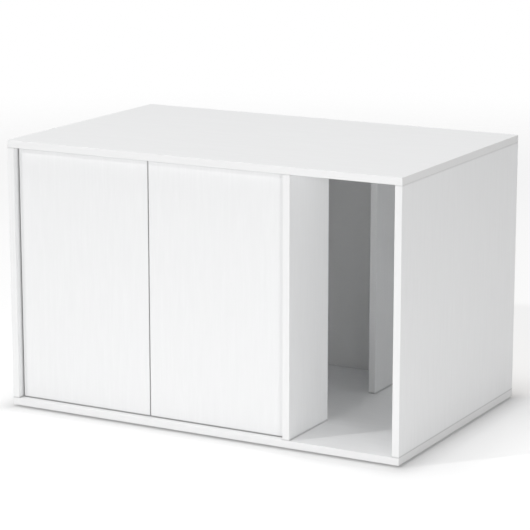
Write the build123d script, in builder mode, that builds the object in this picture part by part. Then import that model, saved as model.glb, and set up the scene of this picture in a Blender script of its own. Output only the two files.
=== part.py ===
"""Low flat-pack cabinet of white melamine board, used as an aquarium stand.

Two handle-less doors close a wide compartment on the left. A narrow bay on the right is open at the
front. The upright board between them is in two pieces, and the gap left between the two is a full-height
doorway from the bay to the closed compartment. The doors are set back in the carcass, hang on
single-pivot cup hinges and are held by push-to-open latches. The boards are joined by cam locks and
dowels, and the cabinet stands on nail-on glides.

Frame: millimetres, +X to the right, +Y to the back, +Z up. The origin is on the floor, under the middle
of the cabinet.
"""

import os
from collections import namedtuple

from build123d import *

# ---------------------------------------------------------------- driving dimensions
cabinet_width = 955.0
cabinet_depth = 600.0
cabinet_height = 605.0
glide_height = 5.0
board = 16.0
band = 1.0  # edge band, on every edge that shows
band_radius = 0.8

bay_width = 238.5
divider_depth = 177.0  # each of the two boards of the divider
door_recess = 16.0  # from the front of the carcass to the front of the doors
hinge_gap = 4.0
middle_gap = 3.0
level_gap = 2.0  # above and below the doors
hinge_inset = 100.0  # hinge centre from the end of the door

back_thickness = 3.0
back_inset = 8.0  # from the rear edges to the back panel
groove_clearance = 0.1
groove_depth = 6.5
back_in_groove = 6.0

# ---------------------------------------------------------------- places that follow from them
side_x = cabinet_width / 2
front_y, rear_y = -cabinet_depth / 2, cabinet_depth / 2
floor_z = glide_height + board  # top face of the bottom panel
ceiling_z = cabinet_height - board  # underside of the top panel
left_face_x = -side_x + board  # inner face of the left side panel
right_face_x = side_x - board
divider_right_x = right_face_x - bay_width
divider_left_x = divider_right_x - board
divider_middle_x = divider_right_x - board / 2
back_rear_y = rear_y - back_inset
back_front_y = back_rear_y - back_thickness
front_divider_rear_y = front_y + divider_depth
rear_divider_front_y = back_front_y - divider_depth

door_front_y = front_y + door_recess
door_back_y = door_front_y + board
door_low_z = floor_z + level_gap
door_high_z = ceiling_z - level_gap
door_width = (divider_left_x - left_face_x - 2 * hinge_gap - middle_gap) / 2
door_spans = {
    "left": (left_face_x + hinge_gap, left_face_x + hinge_gap + door_width),
    "right": (divider_left_x - hinge_gap - door_width, divider_left_x - hinge_gap),
}

# ---------------------------------------------------------------- joints of the carcass
fit = 0.1  # clearance between a fitting and its bore
pilot_radius = 1.7  # of the holes for wood screws
plate_pilot_depth, cup_pilot_depth, panel_pilot_depth, strike_pilot_depth = 14.0, 13.0, 11.0, 11.0
cam_radius, cam_depth, cam_setback = 7.4, 12.4, 34.0
bolt_depth = board / 2  # the bolt runs in the middle of the board
bolt_bore_radius = 4.0
bolt_bore_length = cam_setback - 4.0  # ends inside the cam's bore
bolt_thread_radius, bolt_thread_length = 3.0, 10.5
dowel_radius, dowel_in_upright, dowel_in_panel = 4.0, 20.0, 10.0

# An upright board: its bored face, the way that face looks, and its cams and dowels along Y.
Upright = namedtuple("Upright", "face_x facing cam_ys dowel_ys")
uprights = {
    "left_side_panel": Upright(left_face_x, 1, (-240.0, 225.0), (-190.0, 175.0)),
    "right_side_panel": Upright(right_face_x, -1, (-240.0, 225.0), (-190.0, 175.0)),
    "front_divider": Upright(divider_left_x, -1, (-211.0,), (-265.0, -157.0)),
    "rear_divider": Upright(divider_left_x, -1, (201.0,), (147.0, 255.0)),
}

cap_radius, cap_height = 8.75, 1.0
back_screw_bore = 20.0
back_screw_zs = (80.0, 305.0, 530.0)
glide_radius, glide_inset = 11.0, 22.0
nail_radius, nail_length, nail_head_z = 1.25, 12.0, 1.0

# Screws: head radius, head height, thread radius, length under the head's top or the pan head.
back_screw_size = (3.6, 1.8, 1.5, 18.0)
plate_screw_size = (3.5, 1.9, 1.6, 13.5)
cup_screw_size = (3.5, 1.9, 1.6, 12.5)
arm_screw_size = (4.0, 2.4, 2.4, 8.4)
latch_screw_size = (3.4, 1.8, 1.6, 13.0)
strike_screw_size = (2.8, 1.2, 1.5, 11.0)
wood_screw_hole = (1.8, 3.6)  # shank and countersink radii in a metal or plastic fitting
strike_screw_hole = (1.6, 2.9)

# ---------------------------------------------------------------- hinge
# Its own frame: x from the inner face of the upright, y back from the door's front, z from its middle.
pivot = (14.0, 8.0)
pin_radius, pin_half_length = 1.5, 9.3
cup_x, cup_radius, cup_depth, cup_wall = 25.5, 17.5, 12.0, 0.8
flange_thickness, flange_radius = 1.2, 19.5
flange_bar = (14.0, 62.0, 5.0)  # width, length and corner radius
cup_relief_radius, cup_relief_depth = 2.5, flange_thickness + 0.8
cup_screw_x, cup_screw_zs = 31.5, (-24.0, 24.0)
knuckle_radius, knuckle_half = 3.0, 7.0
arm_sheet, arm_reach_x, arm_turn_y, arm_web_x = 2.0, 27.0, 23.5, 9.8
arm_channel_y, arm_back_y = 27.0, 82.0
arm_screw_ys = (42.0, 64.0)
rib_top_x = arm_web_x - arm_sheet / 2
web_top_x = arm_web_x + arm_sheet / 2
plate_thickness, plate_y, plate_screw_zs = 2.4, 53.0, (-16.0, 16.0)
plate_wings = (17.0, 48.0, 5.0)  # width, length and corner radius
rib_middle_y, rib_size = 56.0, (46.0, 12.8, 1.5)
hinge_zs = {"upper": door_high_z - hinge_inset, "lower": door_low_z + hinge_inset}

# ---------------------------------------------------------------- push latch
latch_offset = 30.0  # from the middle of the doors
latch_axis_z = ceiling_z - 9.5
latch_front_y, latch_bore_end_y, latch_rear_y = -262.0, -190.0, -186.0
latch_barrel_radius, latch_bore_radius, plunger_radius = 7.0, 5.0, 4.8
latch_foot_thickness, latch_foot_y = 2.5, -224.0
latch_foot = (34.0, 36.0, 5.0)  # width, length and corner radius
latch_foot_z = ceiling_z - latch_foot_thickness
latch_neck_width = 9.0
latch_screw_offset = 11.5
plunger_rear_y, spring_seat_y, spring_bore_radius = -222.0, -240.0, 3.6
magnet_gap, magnet_proud = 0.3, 0.3
magnet_radius, magnet_length = 4.0, 2.8
strike_radius, strike_thickness = 6.5, 1.2
opening_middle_x = (left_face_x + divider_left_x) / 2
latch_xs = {"left": opening_middle_x - latch_offset, "right": opening_middle_x + latch_offset}
magnet_face_y = door_back_y + strike_thickness + magnet_gap
plunger_front_y = magnet_face_y + magnet_proud


# ---------------------------------------------------------------- helpers for the part being built
def drill(planes, radius, depth):
    """Round holes, each going in against its plane's normal."""
    with Locations(*planes):
        Hole(radius, depth)


def block(x, y, z, mode=Mode.ADD):
    """A box between two x, two y and two z values."""
    with Locations(((x[0] + x[1]) / 2, (y[0] + y[1]) / 2, (z[0] + z[1]) / 2)):
        Box(x[1] - x[0], y[1] - y[0], z[1] - z[0], mode=mode)


def copies(master, places):
    """One group of separate solids: the master at each place."""
    with BuildPart() as group:
        with Locations(*places):
            add(master.part)
    return group


# ---------------------------------------------------------------- where the holes and fittings go
def end_planes(upright, ys, end_z, outward):
    """Planes on the middle line of an upright board, at one of its ends."""
    middle_x = upright.face_x - upright.facing * board / 2
    return [Plane(origin=(middle_x, y, end_z), z_dir=(0, 0, outward)) for y in ys]


def both_ends(upright, ys):
    return end_planes(upright, ys, ceiling_z, 1) + end_planes(upright, ys, floor_z, -1)


def cam_planes(upright):
    """One plane on the bored face at each cam, with its x axis pointing along the bolt."""
    ends = ((ceiling_z - cam_setback, 1), (floor_z + cam_setback, -1))
    return [
        Plane(origin=(upright.face_x, y, z), x_dir=(0, 0, up), z_dir=(upright.facing, 0, 0))
        for y in upright.cam_ys
        for z, up in ends
    ]


def hinge_places(side):
    """This side's hinges. Half a turn about Y makes a right one, as a hinge is symmetric in z."""
    face_x, turn = (left_face_x, 0) if side == "left" else (divider_left_x, 180)
    return {level: Location((face_x, door_front_y, z), (0, turn, 0)) for level, z in hinge_zs.items()}


def on_hinges(side, planes):
    """Planes given in the hinge's frame, at both hinges of one side."""
    return [place * Location(plane) for place in hinge_places(side).values() for plane in planes]


def across_latch(side, y):
    """A plane square to the latch's axis at y, facing the back."""
    return Plane(origin=(latch_xs[side], y, latch_axis_z), x_dir=(1, 0, 0), z_dir=(0, 1, 0))


def under_ceiling(side, z):
    """Planes facing down at the two screws of one latch."""
    xs = (latch_xs[side] - latch_screw_offset, latch_xs[side] + latch_screw_offset)
    return [Plane(origin=(x, latch_foot_y, z), z_dir=(0, 0, -1)) for x in xs]


plate_screw_planes = [
    Plane(origin=(plate_thickness, plate_y, z), z_dir=(1, 0, 0)) for z in plate_screw_zs
]
arm_screw_planes = [Plane(origin=(web_top_x, y, 0), z_dir=(1, 0, 0)) for y in arm_screw_ys]
cup_screw_planes = [
    Plane(origin=(cup_screw_x, board + flange_thickness, z), z_dir=(0, 1, 0)) for z in cup_screw_zs
]
cup_plane = Plane(origin=(cup_x, board, 0), x_dir=(1, 0, 0), z_dir=(0, 1, 0))
back_screw_planes = [
    Plane(origin=(divider_middle_x, back_rear_y, z), z_dir=(0, 1, 0)) for z in back_screw_zs
]
glide_places = [
    (x, y)
    for x in (-side_x + glide_inset, divider_middle_x, side_x - glide_inset)
    for y in (front_y + glide_inset, rear_y - glide_inset)
]


# ---------------------------------------------------------------- boards
def horizontal_panel(z, inner_z, outward, planes, radius, depth):
    """Top or bottom panel, grooved inside for the back panel, with the bores of the uprights."""
    with BuildPart() as panel:
        block((-side_x + band, side_x - band), (front_y + band, rear_y), z)
        groove_x = right_face_x + groove_depth
        groove_y = (back_front_y - groove_clearance, back_rear_y + groove_clearance)
        groove_z = sorted((inner_z, inner_z - outward * groove_depth))
        block((-groove_x, groove_x), groove_y, groove_z, mode=Mode.SUBTRACT)
        for upright in uprights.values():
            bolts = end_planes(upright, upright.cam_ys, inner_z, outward)
            drill(bolts, bolt_thread_radius + fit, bolt_thread_length + fit)
            dowel_planes = end_planes(upright, upright.dowel_ys, inner_z, outward)
            drill(dowel_planes, dowel_radius + fit, dowel_in_panel + fit)
        drill(planes, radius, depth)
    return panel


def bore_upright(upright):
    """Cam bores in the face, bolt bores and dowel bores in both ends."""
    drill(cam_planes(upright), cam_radius + fit, cam_depth + fit)
    drill(both_ends(upright, upright.cam_ys), bolt_bore_radius, bolt_bore_length)
    drill(both_ends(upright, upright.dowel_ys), dowel_radius + fit, dowel_in_upright + fit)


def side_panel(name, hinged):
    """Side panel, grooved inside for the back panel. A hinged one has holes for the mounting plates."""
    upright = uprights[name]
    with BuildPart() as panel:
        outer_x = upright.face_x - upright.facing * board
        block(sorted((upright.face_x, outer_x)), (front_y + band, rear_y), (floor_z, ceiling_z))
        groove_x = sorted((upright.face_x, upright.face_x - upright.facing * groove_depth))
        groove_y = (back_front_y - groove_clearance, back_rear_y + groove_clearance)
        block(groove_x, groove_y, (floor_z, ceiling_z), mode=Mode.SUBTRACT)
        bore_upright(upright)
        if hinged:
            drill(on_hinges("left", plate_screw_planes), pilot_radius, plate_pilot_depth)
    return panel


def divider(name, y, planes, depth):
    """One of the two boards of the divider, with the pilot holes that its planes give."""
    with BuildPart() as panel:
        block((divider_left_x, divider_right_x), y, (floor_z, ceiling_z))
        bore_upright(uprights[name])
        drill(planes, pilot_radius, depth)
    return panel


def back_panel():
    with BuildPart() as panel:
        half_x = right_face_x + back_in_groove
        z = (floor_z - back_in_groove, ceiling_z + back_in_groove)
        block((-half_x, half_x), (back_front_y, back_rear_y), z)
        drill(back_screw_planes, pilot_radius, back_thickness)
    return panel


def door(side):
    """Door board, bored behind for its hinge cups, their screws and the strike screw."""
    x = door_spans[side]
    with BuildPart() as panel:
        z = (door_low_z + band, door_high_z - band)
        block((x[0] + band, x[1] - band), (door_front_y, door_back_y), z)
        drill(on_hinges(side, [cup_plane]), cup_radius + fit, cup_depth + fit)
        drill(on_hinges(side, cup_screw_planes), pilot_radius, cup_pilot_depth)
        drill(on_hinges(side, cup_screw_planes), cup_relief_radius, cup_relief_depth)
        drill([across_latch(side, door_back_y)], pilot_radius, strike_pilot_depth)
    return panel


# ---------------------------------------------------------------- edge bands
def panel_band(z):
    """The band round the front and both ends of the top or the bottom panel."""
    with BuildPart() as loop:
        block((-side_x, side_x), (front_y, rear_y), z)
        rear_edges = loop.faces().sort_by(Axis.Y)[-1].edges()
        fillet([edge for edge in loop.edges() if edge not in rear_edges], band_radius)
        block((-side_x + band, side_x - band), (front_y + band, rear_y), z, mode=Mode.SUBTRACT)
    return loop


def upright_bands(strips):
    """Straight bands on upright boards. A strip is its x range, its two y values and its shown end."""
    with BuildPart() as bands:
        for x, y, _ in strips:
            block(x, y, (floor_z, ceiling_z))
        for x, _, shown_y in strips:
            corners = bands.edges().filter_by(Axis.Z).filter_by_position(Axis.X, x[0], x[1])
            fillet(corners.filter_by_position(Axis.Y, shown_y, shown_y), band_radius)
    return bands


def door_band(side):
    """The band round all four edges of a door."""
    x = door_spans[side]
    with BuildPart() as loop:
        block(x, (door_front_y, door_back_y), (door_low_z, door_high_z))
        fillet(loop.edges(), band_radius)
        inner_z = (door_low_z + band, door_high_z - band)
        block((x[0] + band, x[1] - band), (door_front_y, door_back_y), inner_z, mode=Mode.SUBTRACT)
    return loop


# ---------------------------------------------------------------- screws, cams, dowels and glides
def screw(head_radius, head_height, radius, length, countersunk=True):
    """A cross-head screw down -Z. A flat head's top is at z = 0, and so is a pan head's underside."""
    ridge_pitch, tip_length = 1.4, 2.2
    root_radius = radius * 0.72
    cross_length, cross_width, cross_depth = head_radius * 1.1, head_radius * 0.26, head_height * 0.75
    top_z = 0 if countersunk else head_height
    thread_top_z = -head_height if countersunk else 0
    outline = [(0, top_z), (head_radius, top_z)]
    if not countersunk:
        outline.append((head_radius, 0))
    outline.append((radius, thread_top_z))
    ridges = int((length + thread_top_z - tip_length) / ridge_pitch)
    for i in range(ridges):
        z = tip_length - length + (ridges - i) * ridge_pitch
        outline += [(root_radius, z), (radius, z - ridge_pitch / 2)]
    outline += [(root_radius, tip_length - length), (0, -length)]
    with BuildPart() as made:
        with BuildSketch(Plane.XZ):
            with BuildLine():
                Polyline(*outline, close=True)
            make_face()
        revolve(axis=Axis.Z)
        if not countersunk:
            fillet(made.edges().sort_by(Axis.Z)[-1], head_height * 0.45)
        with BuildSketch(Plane.XY.offset(top_z)):
            Rectangle(cross_length, cross_width)
            Rectangle(cross_width, cross_length)
        extrude(amount=-cross_depth, mode=Mode.SUBTRACT)
    return made


def cam_lock():
    """A cam in a plane on the board's face: pocket for the bolt along x, cross recess in its face."""
    pocket_radius, pocket_start, pocket_length, mouth_radius = 3.7, -2.5, 5.5, 2.5
    recess_length, recess_width, recess_depth = 8.4, 1.5, 3.0
    with BuildPart() as cam:
        with BuildSketch():
            Circle(cam_radius)
        extrude(amount=-cam_depth)
        fillet(cam.edges().group_by(Axis.Z)[-1], 0.4)
        with BuildSketch(Plane.YZ.offset(pocket_start)):
            with Locations((0, -bolt_depth)):
                Circle(pocket_radius)
        extrude(amount=pocket_length, mode=Mode.SUBTRACT)
        with BuildSketch(Plane.YZ):
            with Locations((0, -bolt_depth)):
                Circle(mouth_radius)
        extrude(amount=2 * cam_radius, mode=Mode.SUBTRACT)
        with BuildSketch():
            Rectangle(recess_length, recess_width)
            Rectangle(recess_width, recess_length)
        extrude(amount=-recess_depth, mode=Mode.SUBTRACT)
    return cam


def cam_bolt():
    """A cam's bolt: head in the cam, shaft through the board's end, thread in the next panel."""
    head_radius, neck_radius, shaft_radius, collar_radius, tip_radius = 3.2, 2.1, 3.3, 3.9, 1.2
    head_start, head_end, neck_start, neck_end, shaft_start = -1.5, 1.5, 2.0, 8.0, 9.0
    collar_start = cam_setback - 1.0
    thread_end = cam_setback + bolt_thread_length
    tip_start = thread_end - 2.0
    with BuildPart() as bolt:
        with BuildSketch(Plane(origin=(0, 0, -bolt_depth), x_dir=(1, 0, 0), z_dir=(0, -1, 0))):
            with BuildLine():
                Polyline(
                    (head_start, 0), (head_start, head_radius), (head_end, head_radius),
                    (neck_start, neck_radius), (neck_end, neck_radius), (shaft_start, shaft_radius),
                    (collar_start, shaft_radius), (collar_start, collar_radius),
                    (cam_setback, collar_radius), (cam_setback, bolt_thread_radius),
                    (tip_start, bolt_thread_radius), (thread_end, tip_radius), (thread_end, 0),
                    close=True,
                )
            make_face()
        revolve(axis=Axis((0, 0, -bolt_depth), (1, 0, 0)))
    return bolt


def cam_cap():
    """Thin cover over a cam, on the board's face."""
    with BuildPart() as cap:
        with BuildSketch():
            Circle(cap_radius)
        extrude(amount=cap_height)
        fillet(cap.edges().sort_by(Axis.Z)[-1], 0.7)
    return cap


def dowel():
    """Beech dowel along its plane's normal, chamfered at both ends. Its plane is on the joint."""
    with BuildPart() as pin:
        with BuildSketch(Plane.XY.offset(-dowel_in_upright)):
            Circle(dowel_radius)
        extrude(amount=dowel_in_upright + dowel_in_panel)
        chamfer(pin.edges().filter_by(GeomType.CIRCLE), 0.8)
    return pin


def floor_glide():
    """Plastic glide under the bottom panel, with a countersunk nail hole."""
    sink_radius, foot_chamfer = 3.2, 1.0
    with BuildPart() as glide:
        with BuildSketch():
            Circle(glide_radius)
        extrude(amount=glide_height)
        chamfer(glide.edges().sort_by(Axis.Z)[0], foot_chamfer)
        with Locations(Plane(origin=(0, 0, 0), z_dir=(0, 0, -1))):
            CounterSinkHole(nail_radius + fit, sink_radius, glide_height)
    return glide


def glide_nail():
    """Steel nail up through a glide, its head sunk clear of the floor."""
    head_radius, head_height, point_length = 2.1, 1.0, 3.0
    tip_z = glide_height + nail_length
    with BuildPart() as nail:
        with BuildSketch(Plane.XZ):
            with BuildLine():
                Polyline(
                    (0, nail_head_z), (head_radius, nail_head_z),
                    (nail_radius, nail_head_z + head_height),
                    (nail_radius, tip_z - point_length), (0, tip_z), close=True,
                )
            make_face()
        revolve(axis=Axis.Z)
    return nail


# ---------------------------------------------------------------- hinge pieces, in the hinge's frame
def hinge_arm():
    """Bent arm: a knuckle on the pivot, a nose round the door's edge, and a channel over the plate."""
    bend_radius, lap, flange_low_x, flange_sheet = 3.5, 13.0, 3.2, 1.2
    channel_plane = Plane(origin=(0, arm_channel_y, 0), x_dir=(1, 0, 0), z_dir=(0, 1, 0))
    with BuildPart() as arm:
        with BuildSketch():
            with BuildLine():
                FilletPolyline(
                    pivot, (arm_reach_x, pivot[1]), (arm_reach_x, arm_turn_y), (arm_web_x, arm_turn_y),
                    (arm_web_x, arm_channel_y + lap), radius=bend_radius,
                )
            trace(line_width=arm_sheet)
            with Locations(pivot):
                Circle(knuckle_radius)
        extrude(amount=knuckle_half, both=True)
        with BuildSketch(channel_plane) as section:
            with Locations(((flange_low_x + web_top_x) / 2, 0)):
                Rectangle(web_top_x - flange_low_x, 2 * (knuckle_half + flange_sheet))
            fillet(section.vertices().sort_by(Axis.X)[-2:], 1.6)
            with Locations(((flange_low_x + rib_top_x) / 2, 0)):
                Rectangle(rib_top_x - flange_low_x, 2 * knuckle_half, mode=Mode.SUBTRACT)
        extrude(amount=arm_back_y - arm_channel_y)
        drill(arm_screw_planes, arm_screw_size[2] + 0.2, arm_sheet)
        pin_end = Plane(origin=(*pivot, knuckle_half))
        drill([pin_end], pin_radius + 0.05, 2 * knuckle_half)
    return arm


def hinge_cup():
    """Cup with its screw flange, and two lugs inside that hold the pin."""
    cup_floor_y = board - cup_depth + cup_wall
    lug_z, lug_length, lug_root = knuckle_half + 0.4, 2.0, 0.2
    with BuildPart() as cup:
        with BuildSketch(cup_plane):
            Circle(flange_radius)
            with Locations((cup_screw_x - cup_x, 0)):
                RectangleRounded(*flange_bar)
        extrude(amount=flange_thickness)
        fillet(cup.edges().group_by(Axis.Y)[-1], 0.5)
        with BuildSketch(cup_plane):
            Circle(cup_radius)
        extrude(amount=-cup_depth)
        with BuildSketch(cup_plane.offset(flange_thickness)):
            Circle(cup_radius - cup_wall)
        extrude(amount=cup_floor_y - board - flange_thickness, mode=Mode.SUBTRACT)
        for low_z in (lug_z, -lug_z - lug_length):
            with BuildSketch(Plane.XY.offset(low_z)):
                with Locations((pivot[0], (cup_floor_y - lug_root + pivot[1]) / 2)):
                    Rectangle(2 * knuckle_radius, pivot[1] - cup_floor_y + lug_root)
                with Locations(pivot):
                    Circle(knuckle_radius)
            extrude(amount=lug_length)
        drill([Plane(origin=(*pivot, lug_z + lug_length))], pin_radius + 0.02, 2 * (lug_z + lug_length))
        with Locations(*cup_screw_planes):
            CounterSinkHole(*wood_screw_hole, flange_thickness)
    return cup


def hinge_pin():
    with BuildPart() as pin:
        with BuildSketch(Plane(origin=(*pivot, -pin_half_length))):
            Circle(pin_radius)
        extrude(amount=2 * pin_half_length)
        chamfer(pin.edges().filter_by(GeomType.CIRCLE), 0.3)
    return pin


def mounting_plate():
    """Plate on the upright board: two wings for the screws and a rib that carries the arm."""
    rib_planes = [Plane(origin=(rib_top_x, y, 0), z_dir=(1, 0, 0)) for y in arm_screw_ys]
    with BuildPart() as plate:
        with BuildSketch(Plane.YZ):
            with Locations((plate_y, 0)):
                RectangleRounded(*plate_wings)
        extrude(amount=plate_thickness)
        with BuildSketch(Plane.YZ):
            with Locations((rib_middle_y, 0)):
                RectangleRounded(*rib_size)
        extrude(amount=rib_top_x)
        with Locations(*plate_screw_planes):
            CounterSinkHole(*wood_screw_hole, plate_thickness)
        drill(rib_planes, arm_screw_size[2] + fit, 7.0)
    return plate


# ---------------------------------------------------------------- push latch
def latch_housing(side):
    """Round barrel on a screwed foot, with a blind bore for the plunger and its spring."""
    neck_height = ceiling_z - latch_axis_z
    with BuildPart() as housing:
        with BuildSketch(Plane.XY.offset(latch_foot_z)):
            with Locations((latch_xs[side], latch_foot_y)):
                RectangleRounded(*latch_foot)
        extrude(amount=latch_foot_thickness)
        with BuildSketch(across_latch(side, latch_front_y)):
            Circle(latch_barrel_radius)
            with Locations((0, -neck_height / 2)):
                Rectangle(latch_neck_width, neck_height)
        extrude(amount=latch_rear_y - latch_front_y)
        mouth = Plane(origin=(latch_xs[side], latch_front_y, latch_axis_z), z_dir=(0, -1, 0))
        drill([mouth], latch_bore_radius, latch_bore_end_y - latch_front_y)
        with Locations(*under_ceiling(side, latch_foot_z)):
            CounterSinkHole(*wood_screw_hole, latch_foot_thickness)
    return housing


def latch_plunger(side):
    """Round plunger: a pocket for the magnet in front, a bore for the spring behind."""
    with BuildPart() as rod:
        with BuildSketch(across_latch(side, plunger_front_y)):
            Circle(plunger_radius)
        extrude(amount=plunger_rear_y - plunger_front_y)
        chamfer(rod.edges().group_by(Axis.Y)[0], 0.3)
        with BuildSketch(across_latch(side, plunger_front_y)):
            Circle(magnet_radius + 0.05)
        extrude(amount=magnet_length - magnet_proud, mode=Mode.SUBTRACT)
        with BuildSketch(across_latch(side, spring_seat_y)):
            Circle(spring_bore_radius)
        extrude(amount=plunger_rear_y - spring_seat_y, mode=Mode.SUBTRACT)
    return rod


def latch_magnet(side):
    with BuildPart() as disc:
        with BuildSketch(across_latch(side, magnet_face_y)):
            Circle(magnet_radius)
        extrude(amount=magnet_length)
        chamfer(disc.edges().group_by(Axis.Y)[0], 0.3)
    return disc


def latch_spring(side):
    """Compression spring between the plunger and the blind end of the bore."""
    wire_radius, coil_radius, turns, end_gap = 0.45, 2.8, 10, 0.6
    length = latch_bore_end_y - spring_seat_y - 2 * end_gap
    start = (latch_xs[side], spring_seat_y + end_gap, latch_axis_z)
    with BuildPart() as spring:
        with BuildLine():
            coil = Helix(length / turns, length, coil_radius, center=start, direction=(0, 1, 0))
        with BuildSketch(Plane(origin=coil @ 0, z_dir=coil % 0)):
            Circle(wire_radius)
        sweep(path=coil, is_frenet=True)
    return spring


def strike_plate(side):
    """Steel disc on the back of the door that the magnet holds."""
    with BuildPart() as disc:
        with BuildSketch(across_latch(side, door_back_y)):
            Circle(strike_radius)
        extrude(amount=strike_thickness)
        with Locations(across_latch(side, door_back_y + strike_thickness)):
            CounterSinkHole(*strike_screw_hole, strike_thickness)
    return disc


# ---------------------------------------------------------------- the pieces, by name
divider_x = (divider_left_x, divider_right_x)
front_divider_y = (front_y + band, front_divider_rear_y - band)
rear_divider_y = (rear_divider_front_y + band, back_front_y)
latch_pilots = under_ceiling("left", ceiling_z) + under_ceiling("right", ceiling_z)
nail_planes = [Plane(origin=(x, y, glide_height), z_dir=(0, 0, -1)) for x, y in glide_places]
top_z, bottom_z = (ceiling_z, cabinet_height), (glide_height, floor_z)
side_strips = [
    ((-side_x, left_face_x), (front_y, front_y + band), front_y),
    ((right_face_x, side_x), (front_y, front_y + band), front_y),
]
divider_strips = [
    (divider_x, (front_y, front_y + band), front_y),
    (divider_x, (front_divider_rear_y - band, front_divider_rear_y), front_divider_rear_y),
    (divider_x, (rear_divider_front_y, rear_divider_front_y + band), rear_divider_front_y),
]
all_cam_planes = [plane for upright in uprights.values() for plane in cam_planes(upright)]
all_dowel_planes = [
    plane for upright in uprights.values() for plane in both_ends(upright, upright.dowel_ys)
]
glide_locations = [Location((x, y, 0)) for x, y in glide_places]
every_hinge = [place for side in door_spans for place in hinge_places(side).values()]
latch_screw_planes = under_ceiling("left", latch_foot_z) + under_ceiling("right", latch_foot_z)

arm, cup, pin = hinge_arm(), hinge_cup(), hinge_pin()
back_screw = screw(*back_screw_size, countersunk=False)
plate_pilots = on_hinges("right", plate_screw_planes)
nail_hole = (nail_planes, nail_radius + fit, nail_length + fit)
arm_screw_pair = copies(screw(*arm_screw_size, countersunk=False), arm_screw_planes)
plate_screw_pair = copies(screw(*plate_screw_size), plate_screw_planes)
cup_screw_pair = copies(screw(*cup_screw_size), cup_screw_planes)

pieces = {
    "top_panel": horizontal_panel(top_z, ceiling_z, -1, latch_pilots, pilot_radius, panel_pilot_depth),
    "top_panel_edge_band": panel_band(top_z),
    "bottom_panel": horizontal_panel(bottom_z, floor_z, 1, *nail_hole),
    "bottom_panel_edge_band": panel_band(bottom_z),
    "left_side_panel": side_panel("left_side_panel", hinged=True),
    "right_side_panel": side_panel("right_side_panel", hinged=False),
    "side_panel_edge_bands": upright_bands(side_strips),
    "front_divider": divider("front_divider", front_divider_y, plate_pilots, plate_pilot_depth),
    "rear_divider": divider("rear_divider", rear_divider_y, back_screw_planes, back_screw_bore),
    "divider_edge_bands": upright_bands(divider_strips),
    "back_panel": back_panel(),
    "back_panel_screws": copies(back_screw, back_screw_planes),
    "floor_glides": copies(floor_glide(), glide_locations),
    "glide_nails": copies(glide_nail(), glide_locations),
    "cam_locks": copies(cam_lock(), all_cam_planes),
    "cam_bolts": copies(cam_bolt(), all_cam_planes),
    "cam_cover_caps": copies(cam_cap(), all_cam_planes),
    "wooden_dowels": copies(dowel(), all_dowel_planes),
    "hinge_mounting_plates": copies(mounting_plate(), every_hinge),
    "mounting_plate_screws": copies(plate_screw_pair, every_hinge),
    "hinge_arm_screws": copies(arm_screw_pair, every_hinge),
    "latch_housing_screws": copies(screw(*latch_screw_size), latch_screw_planes),
}
for side in door_spans:
    places = hinge_places(side)
    for level, place in places.items():
        pieces[f"{side}_{level}_hinge_arm"] = copies(arm, [place])
        pieces[f"{side}_{level}_hinge_cup"] = copies(cup, [place])
    strike_top = across_latch(side, door_back_y + strike_thickness)
    pieces[f"{side}_hinge_pins"] = copies(pin, list(places.values()))
    pieces[f"{side}_hinge_cup_screws"] = copies(cup_screw_pair, list(places.values()))
    pieces[f"{side}_door"] = door(side)
    pieces[f"{side}_door_edge_band"] = door_band(side)
    pieces[f"{side}_strike_plate"] = strike_plate(side)
    pieces[f"{side}_strike_screw"] = copies(screw(*strike_screw_size), [strike_top])
    pieces[f"{side}_latch_housing"] = latch_housing(side)
    pieces[f"{side}_latch_spring"] = latch_spring(side)
    pieces[f"{side}_latch_plunger"] = latch_plunger(side)
    pieces[f"{side}_latch_magnet"] = latch_magnet(side)

os.makedirs("parts", exist_ok=True)
for name, piece in pieces.items():
    piece.part.label = name
    export_step(piece.part, f"parts/{name}.step")
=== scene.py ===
"""Looks of the white board cabinet: a material for every CAD node, pale floor, soft studio light, camera.

Metres, in the frame of the CAD model: +X right, +Y back, +Z up, origin on the floor under the cabinet.
"""

import math

import bpy
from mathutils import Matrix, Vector

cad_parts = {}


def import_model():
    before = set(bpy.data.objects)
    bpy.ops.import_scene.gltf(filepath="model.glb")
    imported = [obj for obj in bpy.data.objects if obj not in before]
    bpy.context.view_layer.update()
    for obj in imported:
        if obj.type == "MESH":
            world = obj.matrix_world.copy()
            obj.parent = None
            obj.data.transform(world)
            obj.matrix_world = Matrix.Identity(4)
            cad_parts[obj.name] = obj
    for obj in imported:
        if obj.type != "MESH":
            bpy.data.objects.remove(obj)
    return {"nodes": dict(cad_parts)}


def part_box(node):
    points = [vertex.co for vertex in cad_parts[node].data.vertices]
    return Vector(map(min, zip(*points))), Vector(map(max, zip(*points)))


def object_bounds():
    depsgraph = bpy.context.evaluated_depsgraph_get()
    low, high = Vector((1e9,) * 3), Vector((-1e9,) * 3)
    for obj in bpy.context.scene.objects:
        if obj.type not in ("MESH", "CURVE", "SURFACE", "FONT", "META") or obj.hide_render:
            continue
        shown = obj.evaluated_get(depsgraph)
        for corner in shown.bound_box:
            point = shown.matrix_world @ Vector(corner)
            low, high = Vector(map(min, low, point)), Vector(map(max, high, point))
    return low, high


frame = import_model()
cad_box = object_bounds()


def grey(share):
    return (share, share, share)


# ---------------------------------------------------------------- places, from the frame
REAR_Y = cad_box[1].y
HALF_SIZE = tuple((cad_box[1] - cad_box[0]) / 2)
# Where the upright boards meet the flat ones: the height, and the seam line's strength there.
SEAMS = (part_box("bottom_panel")[1].z, 0.7), (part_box("top_panel")[0].z, 0.35)

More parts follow.
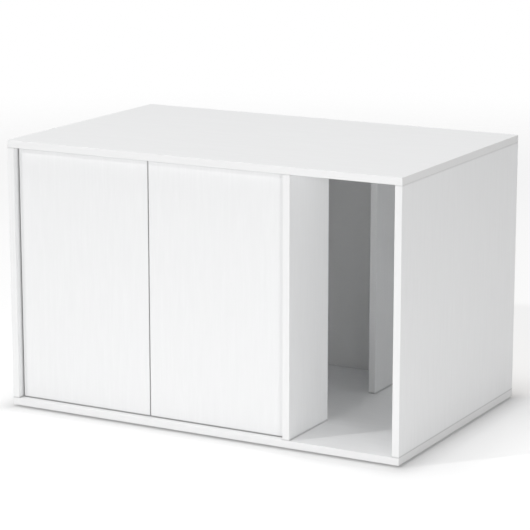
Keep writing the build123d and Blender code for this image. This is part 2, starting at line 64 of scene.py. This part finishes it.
# ---------------------------------------------------------------- boards
GRAIN_X, GRAIN_Z = 0, 2  # the axis that a board's grain runs along
EVEN = (1, 1, 1)  # the stretch of a noise that has no direction
MOSTLY, SQUARELY = 0.5, 0.7  # how much of a surface's normal lies along the axis that it faces
BOARD_WHITE = (0.86, 0.865, 0.87)
BAND_WHITE = (0.87, 0.873, 0.876)
# Shades of the printed grain, as shares of a board's white.
STREAK_DARK, STREAK_PALE = 0.962, 1.012
CLOUD_DARK, PORE_DARK = 0.985, 0.975
PORE_RELIEF, STREAK_RELIEF = 0.6, 0.4  # shares of the printed grain's relief
SEAM_REACH = 0.0016  # how far a seam line's grey runs out above and below the seam
SEAM_GREY = grey(0.30)
# Painted shade on what faces left and right on the flat boards and bands.
END_SHADE_GREY = grey(0.78)
CREVICE_REACH = 0.008  # how near another surface has to be to make a crevice
CREVICE_SAMPLES = 8
# Painted shade: the grey mixed into the boards in gaps and inner corners.
PAINTED_CREVICE_GREY = grey(0.20)
CREVICE_SHADE = [(0.2, 0.66), (0.6, 0.38), (0.85, 0.0)]  # strength by the share of directions left open
RAW_EDGE_MARGIN = 0.0003  # how far in front of the rear end a surface still counts as the raw edge
PIT_RELIEF = 2.5  # the core's relief, in the printed grain's
CHIP_DARK, CHIP_PALE, CHIP_DUST = (0.36, 0.24, 0.13), (0.72, 0.56, 0.36), (0.47, 0.34, 0.20)
LACQUER_DARK, LACQUER_PALE = (0.80, 0.80, 0.795), (0.83, 0.83, 0.825)
LACQUER_RELIEF, MESH_RELIEF = 0.2, 0.6  # as shares of the bare fibre's relief
FIBRE_DARK, FIBRE_PALE, FIBRE_PATCH = (0.25, 0.155, 0.085), (0.42, 0.28, 0.165), (0.34, 0.22, 0.125)

# ---------------------------------------------------------------- fittings
BEECH_DARK, BEECH_PALE, BEECH_FLECK = (0.55, 0.36, 0.19), (0.72, 0.52, 0.32), (0.36, 0.21, 0.11)
NICKEL, MAGNET_NICKEL = (0.62, 0.60, 0.57), (0.66, 0.65, 0.62)
ZINC, DIE_CAST_ZINC, SPRING_STEEL = (0.60, 0.61, 0.63), (0.50, 0.51, 0.52), (0.42, 0.42, 0.43)
HOUSING_WHITE, CAP_WHITE = (0.76, 0.76, 0.755), (0.80, 0.80, 0.795)
NYLON_WHITE, PLUNGER_GREY = (0.72, 0.72, 0.70), (0.58, 0.58, 0.575)

# ---------------------------------------------------------------- floor, light and camera
# The floor's grey and glow by distance from the cabinet, as shares of FLOOR_REACH. Both are lower close to
# the cabinet as a painted contact shadow.
FLOOR_REACH = 1.5
FLOOR_GREY_WITH_PAINTED_SHADOW = [(0.0, 0.70), (0.012, 0.80), (0.035, 0.92)]
FLOOR_GLOW_WITH_PAINTED_SHADOW = [(0.0, 0.075), (0.012, 0.11), (0.04, 0.20), (0.12, 0.24), (1.0, 0.30)]
FADE_START, FADE_END = 2.0, 5.0  # distance from the middle at which the floor runs into the backdrop
WORLD_GLOW, BACKDROP_GLOW = 0.09, 1.0  # what the surroundings give as light, and how bright they look

# Area lights: degrees to the right of the front, degrees up, distance, size, watts.
LIGHTS = {
    "key": (-39, 31, 12.0, 0.3, 390),
    "front": (0, 22, 10.0, 0.7, 108),
    "front_right": (46, 10, 5.0, 1.0, 50),
    "top": (-45, 86, 5.9, 3.0, 225),
}
LIGHT_AIM = Vector((0, 0, 0.3))
CAMERA_PLACE = (2.3841, -4.3589, 1.4285)
VIEW_YAW, VIEW_PITCH = math.radians(28.66), math.radians(-12.61)
LENS, SENSOR, FAR_CLIP = 155.1, 36.0, 100.0
TONE_GAMMA = 1.5  # lifts the shadows, which are pale in the photo
LIGHT_BOUNCES = 16  # light passes on many times between the white boards


# ---------------------------------------------------------------- node helpers
# Sockets of a Mix node, by number because several of them share a name.
MIX_FACTOR, MIX_FLOATS, MIX_COLOURS = 0, (2, 3), (6, 7)
MIX_FLOAT_RESULT, MIX_COLOUR_RESULT = 0, 2
MIX_SHADERS = (1, 2)  # the same of a Mix Shader node


class Tree:
    """A material's node tree, with a shorter way to add a node and link its inputs."""

    def __init__(self, name):
        self.material = bpy.data.materials.new(name)
        self.material.use_nodes = True
        self.nodes, self.links = self.material.node_tree.nodes, self.material.node_tree.links
        self.nodes.clear()
        self.shader = self.add("ShaderNodeBsdfPrincipled")
        self.output = self.add("ShaderNodeOutputMaterial", Surface=self.shader.outputs["BSDF"])
        self.place = self.add("ShaderNodeTexCoord").outputs["Object"]

    def add(self, kind, settings=None, **inputs):
        """A new node. An input's name has an underscore for each space."""
        node = self.nodes.new(kind)
        for key, value in (settings or {}).items():
            setattr(node, key, value)
        for key, value in inputs.items():
            self.set(node, key.replace("_", " "), value)
        return node

    def set(self, node, socket, value):
        """Links another node's output to an input, or gives the input a constant."""
        if isinstance(value, bpy.types.NodeSocket):
            self.links.new(value, node.inputs[socket])
        else:
            node.inputs[socket].default_value = value

    def position(self, axis):
        return self.add("ShaderNodeSeparateXYZ", Vector=self.place).outputs[axis]

    def facing(self, axis):
        """How much of the surface's normal lies along an axis, from -1 to 1."""
        normal = self.add("ShaderNodeTexCoord").outputs["Normal"]
        return self.add("ShaderNodeSeparateXYZ", Vector=normal).outputs[axis]

    def noise(self, stretch, scale, detail, roughness=0.55):
        """Noise whose features are as long along each axis as stretch says."""
        mapping = self.add("ShaderNodeMapping", Vector=self.place, Scale=[1 / s for s in stretch])
        place = mapping.outputs["Vector"]
        node = self.add("ShaderNodeTexNoise", Vector=place, Scale=scale, Detail=detail, Roughness=roughness)
        return node.outputs["Fac"]

    def ramp(self, factor, stops):
        """Colours or greys between stops, each (position, colour or grey)."""
        node = self.add("ShaderNodeValToRGB", Fac=factor)
        elements = node.color_ramp.elements
        while len(elements) < len(stops):
            elements.new(0.5)
        for element, (position, colour) in zip(elements, stops):
            element.position = position
            element.color = (*(colour if isinstance(colour, tuple) else grey(colour)), 1)
        return node.outputs["Color"]

    def mix(self, factor, a, b, blend="MIX"):
        """Gives a where the factor is 0. Where it is 1, gives b, or what the blend makes of a and b."""
        node = self.add("ShaderNodeMix", {"data_type": "RGBA", "blend_type": blend})
        self.set(node, MIX_FACTOR, factor)
        for socket, colour in zip(MIX_COLOURS, (a, b)):
            self.set(node, socket, (*colour, 1) if isinstance(colour, tuple) else colour)
        return node.outputs[MIX_COLOUR_RESULT]

    def math(self, operation, a, b=0.0):
        node = self.add("ShaderNodeMath", {"operation": operation})
        self.set(node, 0, a)
        self.set(node, 1, b)
        return node.outputs["Value"]

    def vector_math(self, operation, a, b=(0, 0, 0)):
        node = self.add("ShaderNodeVectorMath", {"operation": operation})
        self.set(node, 0, a)
        self.set(node, 1, b)
        return node.outputs["Value" if operation == "LENGTH" else "Vector"]

    def bump(self, height, depth):
        """Relief as deep, in metres, as the given depth for each unit of height."""
        node = self.add("ShaderNodeBump", Height=height, Strength=1.0, Distance=depth)
        self.set(self.shader, "Normal", node.outputs["Normal"])

    def finish(self, colour, roughness, metallic=0.0, specular=0.5):
        self.set(self.shader, "Base Color", colour)
        self.set(self.shader, "Roughness", roughness)
        self.set(self.shader, "Metallic", metallic)
        self.set(self.shader, "Specular IOR Level", specular)
        return self.material


def tint(colour, factor):
    return tuple(c * factor for c in colour)


def along(axis, length):
    """The stretch of a grain whose features are longer along one axis."""
    return [length if i == axis else 1 for i in range(3)]


# ---------------------------------------------------------------- materials
def seam_lines(tree, colour):
    """A faint dark line at the foot and head of an upright board, where it meets the flat ones."""
    height = tree.position("Z")
    upright = tree.math("LESS_THAN", tree.math("ABSOLUTE", tree.facing("Z")), MOSTLY)
    for seam_height, strength in SEAMS:
        away = tree.math("ABSOLUTE", tree.math("SUBTRACT", height, seam_height))
        line = tree.ramp(away, [(0.0, strength), (SEAM_REACH, 0.0)])
        colour = tree.mix(tree.math("MULTIPLY", upright, line), colour, SEAM_GREY)
    return colour


def painted_end_shade(tree, colour):
    """Painted shade: a flat board or band is a little greyer on what faces left and right."""
    end = tree.math("GREATER_THAN", tree.math("ABSOLUTE", tree.facing("X")), SQUARELY)
    return tree.mix(end, colour, END_SHADE_GREY)


def painted_crevice_shade(tree, colour):
    """Painted shade: grey in the gaps round the doors and in the corners between boards, where little light
    comes.
    """
    settings = {"samples": CREVICE_SAMPLES}
    open_share = tree.add("ShaderNodeAmbientOcclusion", settings, Distance=CREVICE_REACH)
    return tree.mix(tree.ramp(open_share.outputs["AO"], CREVICE_SHADE), colour, PAINTED_CREVICE_GREY)


def melamine(name, white, axis, raw_rear=False):
    """White printed wood grain under a satin film. A raw rear edge shows the board's chipboard core."""
    tree = Tree(name)
    fine = tree.noise(along(axis, 30), scale=900, detail=3)
    streak = tree.noise(along(axis, 14), scale=130, detail=5, roughness=0.6)
    cloud = tree.noise(along(axis, 3), scale=9, detail=2)
    pores = tree.ramp(fine, [(0.36, 0.0), (0.52, 1.0)])
    streaks = tree.ramp(streak, [(0.36, 0.0), (0.66, 1.0)])
    colour = tree.mix(streaks, tint(white, STREAK_DARK), tint(white, STREAK_PALE))
    colour = tree.mix(tree.ramp(cloud, [(0.3, 0.0), (0.7, 0.35)]), colour, tint(white, CLOUD_DARK))
    colour = tree.mix(pores, tint(white, PORE_DARK), colour)
    pore_relief = tree.math("MULTIPLY", pores, PORE_RELIEF)
    relief = tree.math("ADD", pore_relief, tree.math("MULTIPLY", streak, STREAK_RELIEF))
    # Uprights get seam lines. Flat boards and bands get painted shade on what faces left and right.
    colour = seam_lines(tree, colour) if axis == GRAIN_Z else painted_end_shade(tree, colour)
    # Painted shade in the gaps and inner corners.
    colour = painted_crevice_shade(tree, colour)
    roughness = tree.ramp(streak, [(0.3, 0.62), (0.7, 0.54)])
    if raw_rear:
        colour, roughness, relief = chipboard_edge(tree, colour, roughness, relief)
    tree.bump(relief, depth=0.00007)
    return tree.finish(colour, roughness, specular=0.24)


def chipboard_edge(tree, colour, roughness, relief):
    """Flakes of wood on what faces back at the rear edge, where no band covers the core."""
    at_edge = tree.math("GREATER_THAN", tree.position("Y"), REAR_Y - RAW_EDGE_MARGIN)
    raw = tree.math("MULTIPLY", at_edge, tree.math("GREATER_THAN", tree.facing("Y"), SQUARELY))
    flakes = tree.add("ShaderNodeTexVoronoi", Vector=tree.place, Scale=420)
    flake = tree.ramp(flakes.outputs["Color"], [(0.15, CHIP_DARK), (0.85, CHIP_PALE)])
    dust = tree.noise(EVEN, scale=1500, detail=3)
    flake = tree.mix(tree.ramp(dust, [(0.35, 0.5), (0.65, 0.0)]), flake, CHIP_DUST)
    pits = tree.math("MULTIPLY", dust, PIT_RELIEF)
    return tree.mix(raw, colour, flake), tree.mix(raw, roughness, grey(0.9)), tree.mix(raw, relief, pits)


def hardboard(name):
    """Thin back panel: white lacquer in front, bare brown fibre behind."""
    tree = Tree(name)
    behind = tree.math("GREATER_THAN", tree.facing("Y"), MOSTLY)
    fibre = tree.noise(EVEN, scale=700, detail=6, roughness=0.7)
    patch = tree.noise(EVEN, scale=14, detail=3)
    mesh = tree.add("ShaderNodeTexVoronoi", Vector=tree.place, Scale=600).outputs["Distance"]
    brown = tree.ramp(fibre, [(0.3, FIBRE_DARK), (0.7, FIBRE_PALE)])
    brown = tree.mix(tree.ramp(patch, [(0.3, 0.0), (0.7, 0.4)]), brown, FIBRE_PATCH)
    lacquer = tree.mix(tree.ramp(fibre, [(0.35, 0.0), (0.65, 1.0)]), LACQUER_DARK, LACQUER_PALE)
    weave = tree.math("ADD", fibre, tree.math("MULTIPLY", mesh, MESH_RELIEF))
    tree.bump(tree.mix(behind, tree.math("MULTIPLY", fibre, LACQUER_RELIEF), weave), depth=0.00012)
    roughness = tree.mix(behind, grey(0.45), tree.ramp(fibre, [(0.0, 0.7), (1.0, 0.9)]))
    return tree.finish(tree.mix(behind, lacquer, brown), roughness, specular=0.4)


def metal(name, colour, rough, axis=None):
    """Plated steel or die-cast zinc: brushed along one axis, or grainy, with faint stains."""
    tree = Tree(name)
    scratch = tree.noise(EVEN if axis is None else along(axis, 25), scale=2200, detail=3)
    stain = tree.noise(EVEN, scale=160, detail=3)
    scratches = tree.ramp(scratch, [(0.35, 0.0), (0.65, 1.0)])
    tone = tree.mix(scratches, tint(colour, 0.90), tint(colour, 1.05))
    tone = tree.mix(tree.ramp(stain, [(0.4, 0.0), (0.7, 0.35)]), tone, tint(colour, 0.82))
    tree.bump(scratch, depth=0.00002)
    roughness = tree.ramp(scratch, [(0.3, rough + 0.10), (0.7, rough - 0.05)])
    return tree.finish(tone, roughness, metallic=1.0)


def plastic(name, colour, rough):
    """Moulded plastic with a fine spark-eroded texture."""
    tree = Tree(name)
    grain = tree.noise(EVEN, scale=2600, detail=2)
    flow = tree.noise(along(GRAIN_Z, 2), scale=90, detail=2)
    tone = tree.mix(tree.ramp(flow, [(0.35, 0.0), (0.65, 1.0)]), tint(colour, 0.97), tint(colour, 1.02))
    tree.bump(grain, depth=0.00002)
    roughness = tree.ramp(grain, [(0.3, rough - 0.06), (0.7, rough + 0.06)])
    return tree.finish(tone, roughness, specular=0.45)


def beech(name):
    """Raw beech with short dark flecks, along Z as the dowels stand."""
    tree = Tree(name)
    ring = tree.noise(along(GRAIN_Z, 18), scale=500, detail=4)
    fleck = tree.noise(along(GRAIN_Z, 4), scale=1800, detail=2)
    tone = tree.ramp(ring, [(0.3, BEECH_DARK), (0.7, BEECH_PALE)])
    tone = tree.mix(tree.ramp(fleck, [(0.60, 0.0), (0.68, 0.6)]), tone, BEECH_FLECK)
    tree.bump(ring, depth=0.0001)
    return tree.finish(tone, roughness=0.7)


# ---------------------------------------------------------------- which node has which material
def paint(material, *names):
    for name in names:
        slots = frame["nodes"][name].data.materials
        slots.clear()
        slots.append(material)


sides = ("left", "right")
levels = ("upper", "lower")
board_z = melamine("board_upright", BOARD_WHITE, GRAIN_Z, raw_rear=True)
board_x = melamine("board_flat", BOARD_WHITE, GRAIN_X, raw_rear=True)
nickel = metal("nickel_plate", NICKEL, rough=0.30)
zinc_plate = metal("zinc_plate", ZINC, rough=0.34)
white_plastic = plastic("white_plastic", HOUSING_WHITE, rough=0.46)

paint(board_x, "top_panel", "bottom_panel")
paint(board_z, "left_side_panel", "right_side_panel", "front_divider", "rear_divider")
paint(board_z, "left_door", "right_door")
paint(melamine("band_flat", BAND_WHITE, GRAIN_X), "top_panel_edge_band", "bottom_panel_edge_band")
paint(melamine("band_upright", BAND_WHITE, GRAIN_Z), "side_panel_edge_bands", "divider_edge_bands")
paint(melamine("band_door", BAND_WHITE, GRAIN_Z), "left_door_edge_band", "right_door_edge_band")
paint(hardboard("hardboard"), "back_panel")
paint(metal("die_cast_zinc", DIE_CAST_ZINC, rough=0.45), "cam_locks")
paint(metal("bolt_zinc", ZINC, rough=0.36, axis=GRAIN_Z), "cam_bolts")
paint(plastic("cap_plastic", CAP_WHITE, rough=0.42), "cam_cover_caps")
paint(plastic("glide_nylon", NYLON_WHITE, rough=0.5), "floor_glides")
paint(beech("beech"), "wooden_dowels")
paint(nickel, "hinge_mounting_plates")
paint(metal("spring_steel", SPRING_STEEL, rough=0.28), *[f"{side}_latch_spring" for side in sides])
paint(metal("magnet_nickel", MAGNET_NICKEL, rough=0.18), *[f"{side}_latch_magnet" for side in sides])
paint(zinc_plate, "glide_nails", "back_panel_screws", "mounting_plate_screws")
paint(zinc_plate, "hinge_arm_screws", "latch_housing_screws")
for side in sides:
    paint(zinc_plate, f"{side}_hinge_cup_screws", f"{side}_strike_screw")
    paint(nickel, f"{side}_hinge_pins", f"{side}_strike_plate")
    paint(nickel, *[f"{side}_{level}_hinge_{part}" for level in levels for part in ("arm", "cup")])
    paint(white_plastic, f"{side}_latch_housing")
    paint(plastic(f"{side}_plunger_plastic", PLUNGER_GREY, rough=0.4), f"{side}_latch_plunger")


# ---------------------------------------------------------------- studio
def distance_from_cabinet(tree):
    """How far a place on the floor lies outside the cabinet's outline, as a share of FLOOR_REACH."""
    beyond = tree.vector_math("SUBTRACT", tree.vector_math("ABSOLUTE", tree.place), HALF_SIZE)
    outside = tree.vector_math("MAXIMUM", beyond, (0, 0, 0))
    return tree.math("DIVIDE", tree.vector_math("LENGTH", outside), FLOOR_REACH)


def floor():
    """Pale floor that fades into the bright backdrop all round, with a painted contact shadow: lower grey
    and glow close to the cabinet.
    """
    bpy.ops.mesh.primitive_plane_add(size=2 * FADE_END, location=(0, 0, 0))
    plane = bpy.context.object
    plane.name = "studio_floor"
    tree = Tree("studio_floor")
    distance = distance_from_cabinet(tree)
    grain = tree.ramp(tree.noise(EVEN, scale=60, detail=3), [(0.3, 0.98), (0.7, 1.0)])
    # Painted contact shadow: the floor's grey is lower close to the cabinet.
    colour = tree.mix(1.0, tree.ramp(distance, FLOOR_GREY_WITH_PAINTED_SHADOW), grain, "MULTIPLY")
    tree.finish(colour, roughness=0.9, specular=0.1)
    tree.set(tree.shader, "Emission Color", (1, 1, 1, 1))
    # Glow that is lower close to the cabinet, as a painted contact shadow.
    tree.set(tree.shader, "Emission Strength", tree.ramp(distance, FLOOR_GLOW_WITH_PAINTED_SHADOW))
    fade = tree.add(
        "ShaderNodeMapRange", {"interpolation_type": "SMOOTHSTEP"},
        Value=tree.vector_math("LENGTH", tree.place), From_Min=FADE_START, From_Max=FADE_END,
    )
    faded = tree.add("ShaderNodeMixShader", Fac=fade.outputs["Result"])
    for socket, shader in zip(MIX_SHADERS, (tree.shader, tree.add("ShaderNodeBsdfTransparent"))):
        tree.set(faded, socket, shader.outputs["BSDF"])
    tree.set(tree.output, "Surface", faded.outputs["Shader"])
    plane.data.materials.append(tree.material)


def area_light(name, turn, lift, distance, size, power):
    """A square soft light that faces the middle of the cabinet."""
    turn, lift = math.radians(turn), math.radians(lift)
    away = Vector((math.cos(lift) * math.sin(turn), -math.cos(lift) * math.cos(turn), math.sin(lift)))
    data = bpy.data.lights.new(name, "AREA")
    data.shape, data.size, data.energy = "SQUARE", size, power
    light = bpy.data.objects.new(name, data)
    light.location = LIGHT_AIM + away * distance
    light.rotation_euler = away.to_track_quat("Z", "Y").to_euler()
    bpy.context.scene.collection.objects.link(light)


def world():
    """Pale surroundings: a faint glow on the cabinet, and a bright backdrop behind it."""
    made = bpy.data.worlds.new("studio")
    made.use_nodes = True
    nodes, links = made.node_tree.nodes, made.node_tree.links
    background = nodes["Background"]
    background.inputs["Color"].default_value = (1, 1, 1, 1)
    strength = nodes.new("ShaderNodeMix")
    links.new(nodes.new("ShaderNodeLightPath").outputs["Is Camera Ray"], strength.inputs[MIX_FACTOR])
    for socket, glow in zip(MIX_FLOATS, (WORLD_GLOW, BACKDROP_GLOW)):
        strength.inputs[socket].default_value = glow
    links.new(strength.outputs[MIX_FLOAT_RESULT], background.inputs["Strength"])
    bpy.context.scene.world = made


def camera():
    """Placed and turned by a fit to the photo's corners, with no shift of the lens."""
    data = bpy.data.cameras.new("camera")
    data.lens, data.sensor_width, data.clip_end = LENS, SENSOR, FAR_CLIP
    made = bpy.data.objects.new("camera", data)
    made.location = CAMERA_PLACE
    made.rotation_euler = (math.radians(90) + VIEW_PITCH, 0, VIEW_YAW)
    bpy.context.scene.collection.objects.link(made)
    bpy.context.scene.camera = made


floor()
world()
for name, values in LIGHTS.items():
    area_light(name, *values)
camera()
scene = bpy.context.scene
scene.view_settings.view_transform = "Standard"
scene.view_settings.gamma = TONE_GAMMA
scene.cycles.max_bounces = scene.cycles.diffuse_bounces = LIGHT_BOUNCES
